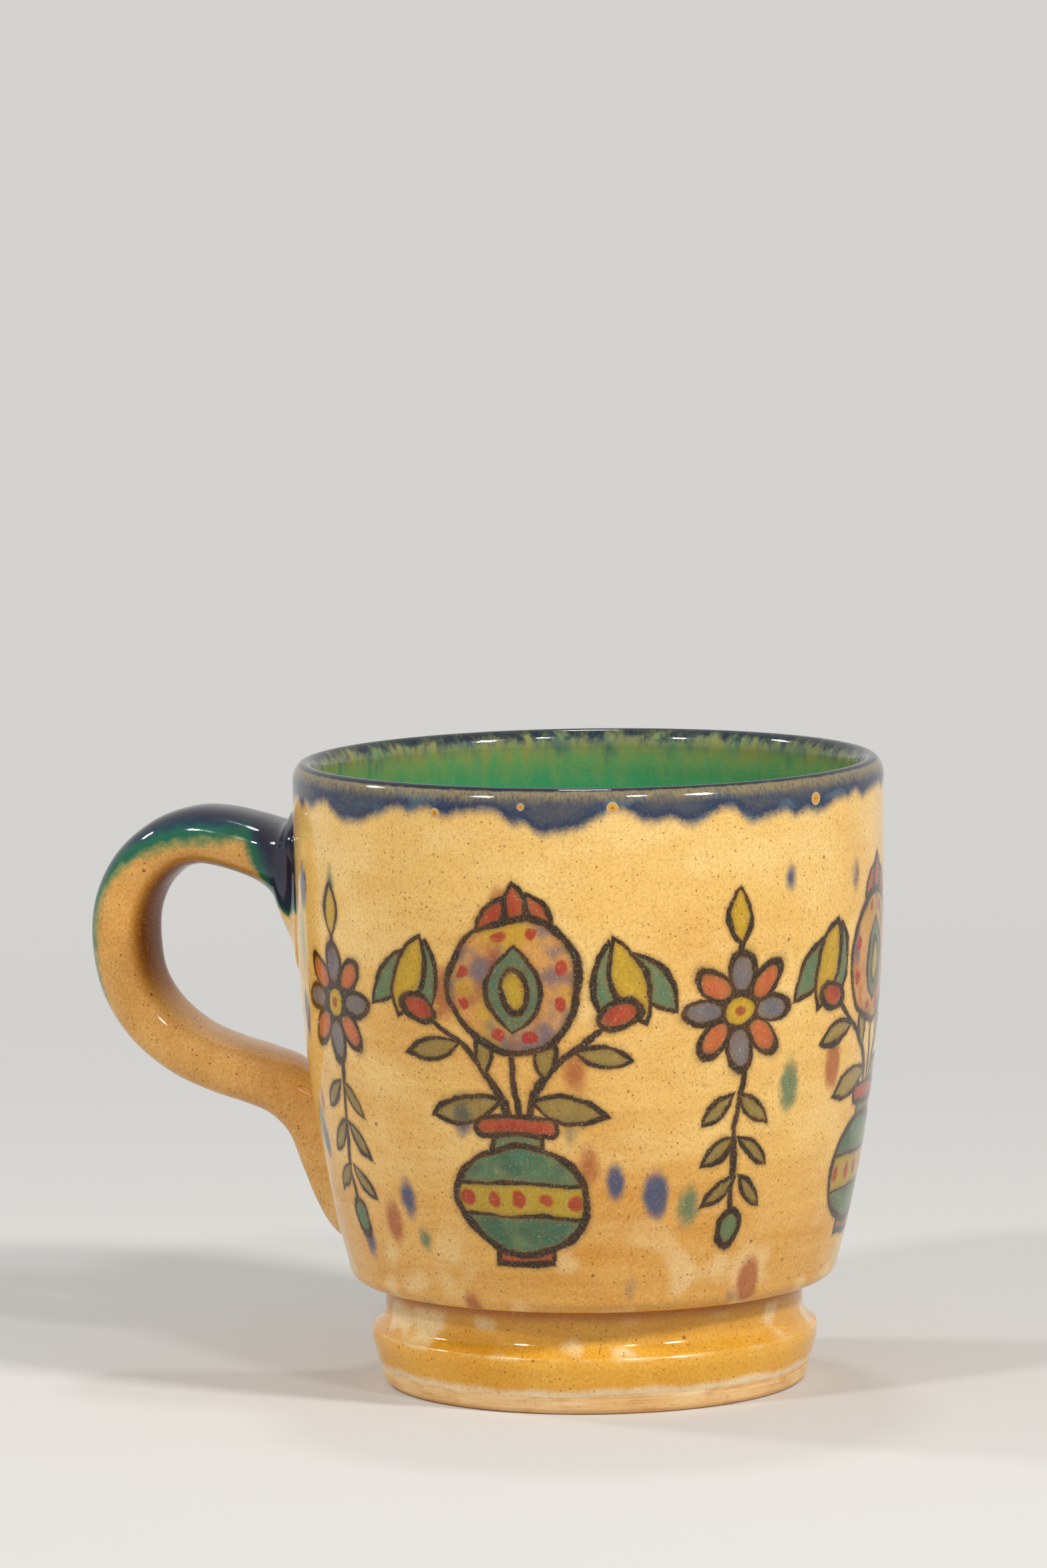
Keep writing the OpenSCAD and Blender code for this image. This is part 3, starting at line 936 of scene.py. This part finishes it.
class Painting:
    """Brush work laid over a ground colour, stroke by stroke."""

    def __init__(self, net, colour):
        self.net, self.colour = net, colour
        # washes lie thick and thin, and run a little down the wall
        self.wash = net.noise(0.42, 3.0, 0.65, tall=0.35)
        self.bleed = (self.wash - 0.5) * 1.1
        self.lines = None

    def fill(self, form, colour, strength=0.97, soft=0.5, inside=None, among=None):
        share = step(form + self.bleed, soft, -soft)
        share = share * step(self.wash, 0.28, 0.66, strength, strength * 0.90)
        if inside is not None:
            share = share * step(inside, 0.2, -0.2)
        if among is not None:
            share = share * among
        self.colour = mix(share, self.colour, colour)

    def outline(self, form, wide, covers=True, inside=None):
        """Adds a brushed line round a form. What it covers loses its own lines."""
        mark = abs(form) - wide
        if inside is not None:
            mark = most(mark, inside)
        if covers:
            self.lines = most(self.lines, -form)
        self.lines = least(self.lines, mark)

    def part(self, form, colour, wide, strength=0.97, soft=0.5):
        self.fill(form, colour, strength, soft)
        self.outline(form, wide)

    def stroke(self, form):
        """Adds a form to the dark line work as it is."""
        self.lines = form if self.lines is None else least(self.lines, form)

    def finish(self):
        grain = self.net.noise(1.9, 2.0, 0.65)
        pressure = self.net.noise(0.20, 1.0, 0.5)
        d = self.lines + (grain - 0.5) * 0.34 + (pressure - 0.5) * 0.60
        ink = mix(step(pressure, 0.44, 0.62), INK, SEPIA)
        return over(
            self.colour, (step(d, 1.0, 0.1) * 0.42, LINE_HALO), (step(d, 0.34, 0.0), ink))


DESIGN_R = 42.0
SPACING = DESIGN_R * pi / 2  # from one vase to the next
VASE_Y, BLOSSOM_Y, ROSETTE_Y = 33.0, 64.6, 60.0


def frieze(net, colour):
    """Three vases of flowers round the mug, with rosettes on stems between them."""
    angle = net.turn()
    wob = net.noise_vector(0.10, 1.0)
    fine = net.noise_vector(0.55, 1.0)
    x, y = (true + (wob[i] - 0.5) * 2.6 + (fine[i] - 0.5) * 0.55
            for i, true in enumerate((angle * DESIGN_R, net.z)))

    # seen from the nearest vase, and from the nearest rosette half way between
    half = SPACING / 2
    here = Spot(wrap(x, half), y)
    both = Spot(abs(here.x), y)  # for what a vase has on both sides
    mid = Spot(wrap(x + half, half), y)
    p = Painting(net, colour)

    # stems and leaves of the vase
    t = (y - 44.0) * (1 / 15.0)
    curve = both.x - times_plus(t * t, 11.5, 1.5)
    stem = most(abs(here.x) - 0.35, abs(here.y - 50.5) - 5.5)
    p.stroke(least(stem, most(abs(curve) * 0.72 - 0.35, abs(y - 52.3) - 8.3)))
    for leaf in (
        (2.4, 48.0, 104, 5.6, 1.9), (4.4, 51.3, 4, 3.4, 1.3), (8.6, 55.6, 102, 4.2, 1.5),
    ):
        p.part(both.sprung(*leaf), OLIVE, 0.20, 0.75)

    # the vase
    p.part(here.at(0, 24.6).box(4.6, 1.3), CORAL, 0.24)
    p.part(here.at(0, 41.6).box(3.6, 2.6), TURQUOISE, 0.26)
    body = here.at(0, VASE_Y).oval(10.2, 8.2)
    belt = abs(here.y - VASE_Y) - 2.6
    bead = Spot(wrap(here.x, 2.1), here.y).at(0, VASE_Y).oval(1.05, 1.25)
    motley = net.noise_vector(0.15, 2.0)
    p.fill(body, TURQUOISE)
    p.fill(body, DEEP_TURQUOISE, 0.85, among=step(motley[2], 0.46, 0.60))
    p.fill(belt, YELLOW, 0.85, inside=body)
    p.fill(bead, CORAL, 0.95, 0.3, inside=body)
    p.outline(body, 0.32)
    p.outline(belt, 0.14, covers=False, inside=body)
    p.part(here.at(0, 44.3).pill(6.2, 1.35), CORAL, 0.26)

    # the big blossom
    side_tip = both.at(3.4, 74.9, -30).leaf(3.4, 1.3)
    p.part(least(here.at(0, 76.2).leaf(3.6, 1.5), side_tip), CORAL, 0.22)
    globe = here.at(0, BLOSSOM_Y).oval(9.4, 9.8)
    p.fill(globe, OCHRE, 0.9)
    for draw, low, hue, strength in (
        (0, 0.42, YELLOW, 0.85), (1, 0.46, DABBED_BLUE, 0.8), (2, 0.48, RUST, 0.8),
    ):
        p.fill(globe, hue, strength, among=step(motley[draw], low, low + 0.20))
    seed = Spot(wrap(here.x + 2.4, 2.4), wrap(here.y - BLOSSOM_Y + 2.5, 2.5))
    p.fill(seed.oval(0.95, 1.0), CORAL, 0.95, 0.25, inside=globe + 1.2)
    p.outline(globe, 0.34)
    p.part(here.at(0, 64.0).leaf(6.4, 3.9), TURQUOISE, 0.24)
    kernel = here.at(0, 64.0).oval(1.7, 3.3)
    p.fill(kernel, YELLOW)
    p.outline(kernel, 0.16, covers=False)

    # tulips at the sides
    for px, py, tilt, long, wide, hue in (
        (13.4, 65.11, -2, 5.8, 2.2, TURQUOISE), (19.4, 65.09, -40, 5.8, 2.2, TURQUOISE),
        (16.3, 65.4, -20, 6.6, 2.5, YELLOW),
    ):
        p.part(both.at(px, py, tilt).leaf(long, wide), hue, 0.22)
    p.part(both.at(15.0, 60.6, -20).oval(2.9, 1.9), CORAL, 0.24)

    # the rosette on its stem
    up = mid.y - ROSETTE_Y
    radius = length(mid.x, up)
    turn = net.math("ARCTAN2", up, mid.x)
    petal_turn = wrap(turn, pi / 8)
    petal = Spot(sine(petal_turn) * radius, cosine(petal_turn) * radius)
    petals = petal.at(0, 5.6).oval(1.9, 3.1)
    wavy = abs(mid.x + sine(mid.y * 0.22) * 0.8) - 0.30
    p.stroke(most(wavy, abs(mid.y - 40.0) - 13.0))
    p.stroke(most(abs(mid.x) - 0.32, abs(mid.y - 69.0) - 2.6))
    pair = Spot(abs(mid.x), wrap(mid.y - 33.0, 3.1)).at(2.9, 0.4, -48).leaf(3.3, 1.15)
    p.part(most(pair, abs(mid.y - 39.2) - 9.25), OLIVE, 0.16, 0.8, 0.3)
    every_other = step(cosine(turn * 4.0), -0.2, 0.2)
    p.part(petals, mix(every_other, PETAL_RED, PETAL_BLUE), 0.22, 0.9)
    p.part(radius - 2.5, YELLOW, 0.22, 1.0)
    p.fill(radius - 0.8, RUST, 1.0, 0.2)
    p.part(mid.at(0, 73.9).leaf(3.9, 1.8), YELLOW, 0.22)
    p.part(mid.at(0, 27.6).oval(2.0, 2.6), GREEN, 0.24)

    clear_of_handle = step(abs(angle), radians(149.5), radians(147.5))
    return mix(clear_of_handle, colour, p.finish())


def daubs(net, colour):
    """Soft stray daubs of each colour, scattered over the wall."""
    for scale, offset, hue, size, strength in (
        (0.104, (3.1, 7.7, 1.3), DABBED_BLUE, 0.27, 0.95),
        (0.096, (8.2, 2.4, 5.9), RUST, 0.26, 0.82),
        (0.088, (5.5, 9.1, 4.2), YELLOW, 0.22, 0.85),
        (0.068, (1.7, 4.6, 8.8), TURQUOISE, 0.19, 0.85),
    ):
        moved = net.chain("VectorMath", net.place, (scale, scale, scale * 0.50), offset,
                          operation="MULTIPLY_ADD")
        near, pick = net.cells(1.0, moved)
        ragged = net.noise(0.5, 2.0)
        share = step(near + (ragged - 0.5) * 0.09 + pick[0] * 0.12, size, size * 0.50)
        colour = mix(share * strength * step(net.z, 84.0, 80.0), colour, hue)
    # a drip of the handle's copper green that ran on to the wall beside its root
    wall = Spot(net.turn() * DESIGN_R, net.z)
    drip = wall.at(radians(-151) * DESIGN_R, 68.0).oval(1.5, 4.2)
    return mix(step(drip, 0.9, -0.9) * 0.6, colour, DRIP_GREEN)


def root_paint(net, colour):
    """The handle's paint, brushed a little way on to the wall round its root."""
    aside = (pi - abs(net.turn())) * DESIGN_R
    loose = net.noise(0.5, 3.0, 0.65)
    past = Spot(aside, net.z).at(0.0, 73.8).oval(14.8, 15.2) + (loose - 0.5) * 2.6
    high = step(net.z + (loose - 0.5) * 4.0, 67.0, 72.0)
    return over(
        colour,
        (step(past, 2.4, 0.8) * high * 0.85, TEAL),
        (step(past, 1.2, 0.0) * high, DARK_TEAL),
    )


def main_wall(net):
    painted = root_paint(net, frieze(net, daubs(net, ground(net))))
    return rim_band(net, grained(net, painted))


# ---- materials
def clay(name, tone_a, tone_b):
    """Bare fired clay with turning marks, scuffs and grog, dirty at the table."""
    net = Material(name)
    slow = net.noise(0.08)
    grog = net.noise(2.2, 3.0, 0.7)
    stain = net.noise(0.22, 3.0, 0.65, tall=2.6)
    scuff = net.noise(1.0, 3.0, 0.65, at=net.stretched(0.10, 0.10, 1.7))
    turned = net.node("CombineXYZ", X=length(net.x, net.y) * 1.4, Y=net.z * 1.6)
    rings = net.noise(1.0, 2.0, at=turned.outputs[0])
    colour = over(
        tone_a,
        (step(slow, 0.35, 0.65), tone_b),
        (step(grog, 0.58, 0.75) * 0.45, SPECK),
        (step(stain, 0.52, 0.70) * 0.40, CLAY_STAIN),
        (step(rings, 0.45, 0.7) * 0.12, CLAY_RING),
        (step(scuff, 0.54, 0.70) * 0.55, CLAY_SCUFF),
        (step(scuff, 0.46, 0.32) * 0.50, CLAY_BROWN),
        (step(net.z + (stain - 0.5) * 1.6, 1.30, 0.25) * 0.42, CLAY_DIRT),
    )
    bent = net.bump(grog, 0.05, 0.8, net.bump(rings, 0.12, 0.8))
    rough = step(grog, 0.3, 0.8, 0.62, 0.85)
    net.give(net.shader, Base_Color=colour, Roughness=rough, Normal=bent)
    return net.material


def glaze(name, painter, dry=None, ripple_mm=0.10, shine=None):
    """A glossy glaze with gentle waves and a fine orange-peel skin. dry gives the
    roughness, and shine the weaker shine, that it has where it is thin or matt."""
    net = Material(name)
    bent = net.bump(net.noise(0.16, 2.0, 0.5), ripple_mm, 0.6)
    streak = net.noise(1.0, 1.0, 0.5, at=net.stretched(0.05, 0.05, 0.75))
    bent = net.bump(streak, ripple_mm * 0.45, 0.6, bent)
    bent = net.bump(net.noise(1.3, 2.0), 0.006, 0.6, bent)
    gloss = step(net.noise(0.35), 0.30, 0.80, 0.05, 0.13)
    net.give(
        net.shader, Base_Color=painter(net), Normal=bent, IOR=GLAZE_IOR,
        Roughness=most(gloss, dry(net)) if dry else gloss,
        Specular_IOR_Level=shine(net) if shine else GLAZE_SHINE)
    return net.material


# ---- the object
for material, nodes in (
    (clay("bare_clay", rgb(246, 208, 148), rgb(236, 190, 124)), ["foot_ring"]),
    (clay("raw_clay", rgb(222, 184, 138), rgb(208, 164, 116)), ["cup_body", "handle"]),
    (clay("slip_clay", rgb(232, 206, 170), rgb(222, 190, 150)),
     ["upper_slip_joint", "lower_slip_joint"]),
):
    for node in nodes:
        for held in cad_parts[node].material_slots:
            held.material = material

COATS = (
    # piece, run of the outline, bake strips, painter, roughness, node, slot
    ("foot_glaze_coat", 0, 4, main_foot, foot_rough, "foot_glaze", "foot"),
    ("wall_glaze_coat", 1, 2, main_wall, None, "wall_glaze", "wall"),
    ("rim_glaze_coat", 2, 4, main_rim, None, "rim_glaze", "rim"),
    ("liner_glaze_coat", 3, 2, lining, None, "liner_glaze", "liner"),
)
for piece, run, strips, painter, dry, node, slot in COATS:
    obj = coat(piece, FIRST_ROW[run], FIRST_ROW[run + 1], strips)
    obj.data.materials.append(glaze(piece, painter, dry))
    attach(obj, "root")
    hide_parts(node)

obj = strap("handle_glaze_coat")
obj.data.materials.append(
    glaze("handle_glaze_coat", main_handle, ripple_mm=0.04, shine=handle_shine))
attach(obj, "root")
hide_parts("handle_glaze")


# ---- floor, light, camera
PALE = (0.66, 0.65, 0.63)
WARM = (1.0, 0.985, 0.96)
FILL_LIGHT = 0.34
FLOOR_MM = 30000.0
FLOOR_CORNERS = ((-1, -1, 0), (1, -1, 0), (1, 1, 0), (-1, 1, 0))
CAMERA_TURN = 15.0  # the camera stands this far round from the front


def floor():
    obj = mesh_object("floor", np.array(FLOOR_CORNERS) * FLOOR_MM, [(0, 1, 2, 3)])
    net = Material("floor")
    net.give(net.shader, Base_Color=PALE, Roughness=0.9, Specular_IOR_Level=0.1)
    # far from the object the floor is as pale as the backdrop, whatever light gets there
    far = step(length(net.x, net.y), 80.0, 650.0)
    glow = net.node("Emission", Color=PALE, Strength=1.0)
    net.give(net.out, Surface=net.mix_shaders(far, net.shader, glow))
    obj.data.materials.append(net.material)


def backdrop():
    """The world lights the object softly, and shows as a plain pale backdrop."""
    world = bpy.data.worlds.new("world")
    bpy.context.scene.world = world
    net = Net(world)
    seen = net.node("Background", Color=PALE, Strength=1.0)
    fill = net.node("Background", Color=WARM, Strength=FILL_LIGHT)
    ray = net.node("LightPath").outputs
    shows = net.math("MAXIMUM", ray["Is Camera Ray"], ray["Is Glossy Ray"])
    shows = net.math("MAXIMUM", shows, ray["Is Transmission Ray"])
    net.node("OutputWorld", Surface=net.mix_shaders(shows, fill, seen))


def lamp(name, turn, height, distance, size, watts, tone=(1.0, 1.0, 1.0)):
    """A square soft box, turned from the camera's side, aimed at the mug's middle."""
    data = bpy.data.lights.new(name, "AREA")
    data.shape, data.size, data.energy, data.color = "SQUARE", size, watts, tone
    obj = placed(name, data)
    a = radians(-90 + CAMERA_TURN + turn)
    e = radians(height)
    middle = Vector((0, 0, 0.05))
    way = Vector((cos(a) * cos(e), sin(a) * cos(e), sin(e)))
    obj.location = middle + way * distance
    obj.rotation_mode = "QUATERNION"
    obj.rotation_quaternion = way.to_track_quat("Z", "Y")


def camera():
    """The photograph's camera, fitted to the rim's, the waist's and the foot's ellipses."""
    width, height = 1568, 2349
    focal_px, distance, elevation, roll = 12000.0, 1189.2, 6.03, -0.73
    rim_px = (879.9, 1133.1)
    e, w = radians(elevation), radians(roll)
    spot = Vector((0, -distance * cos(e), distance * sin(e)))
    forward = -spot.normalized()
    level = Vector((1, 0, 0))
    up = level.cross(forward)
    right = level * cos(w) + up * sin(w)
    up = up * cos(w) - level * sin(w)
    pan = Matrix.Rotation(atan((rim_px[0] - width / 2) / focal_px), 3, up)
    forward, right = pan @ forward, pan @ right
    nod = Matrix.Rotation(atan((rim_px[1] - height / 2) / focal_px), 3, right)
    forward, up = nod @ forward, nod @ up
    swing = Matrix.Rotation(radians(CAMERA_TURN), 3, "Z")
    data = bpy.data.cameras.new("camera")
    data.sensor_width, data.sensor_fit = 36.0, "AUTO"
    data.lens = focal_px / height * data.sensor_width
    data.clip_start, data.clip_end = 0.05, 100.0
    obj = placed("camera", data)
    m = Matrix([swing @ axis for axis in (right, up, -forward)]).transposed().to_4x4()
    m.translation = (swing @ spot + Vector((0, 0, CUP_H))) * MM
    obj.matrix_world = m
    bpy.context.scene.camera = obj


floor()
backdrop()
lamp("key", 50, 39, 1.2, 0.13, 7.6, WARM)
lamp("crown", 23, 46, 1.2, 0.10, 2.2)
lamp("front", -46, 40, 1.2, 0.11, 3.8)
lamp("side", -108, 38, 1.2, 0.12, 3.0)
lamp("top", 180, 72, 1.3, 0.14, 2.0)
camera()
bpy.context.scene.view_settings.view_transform = "Standard"

bpy.context.view_layer.update()
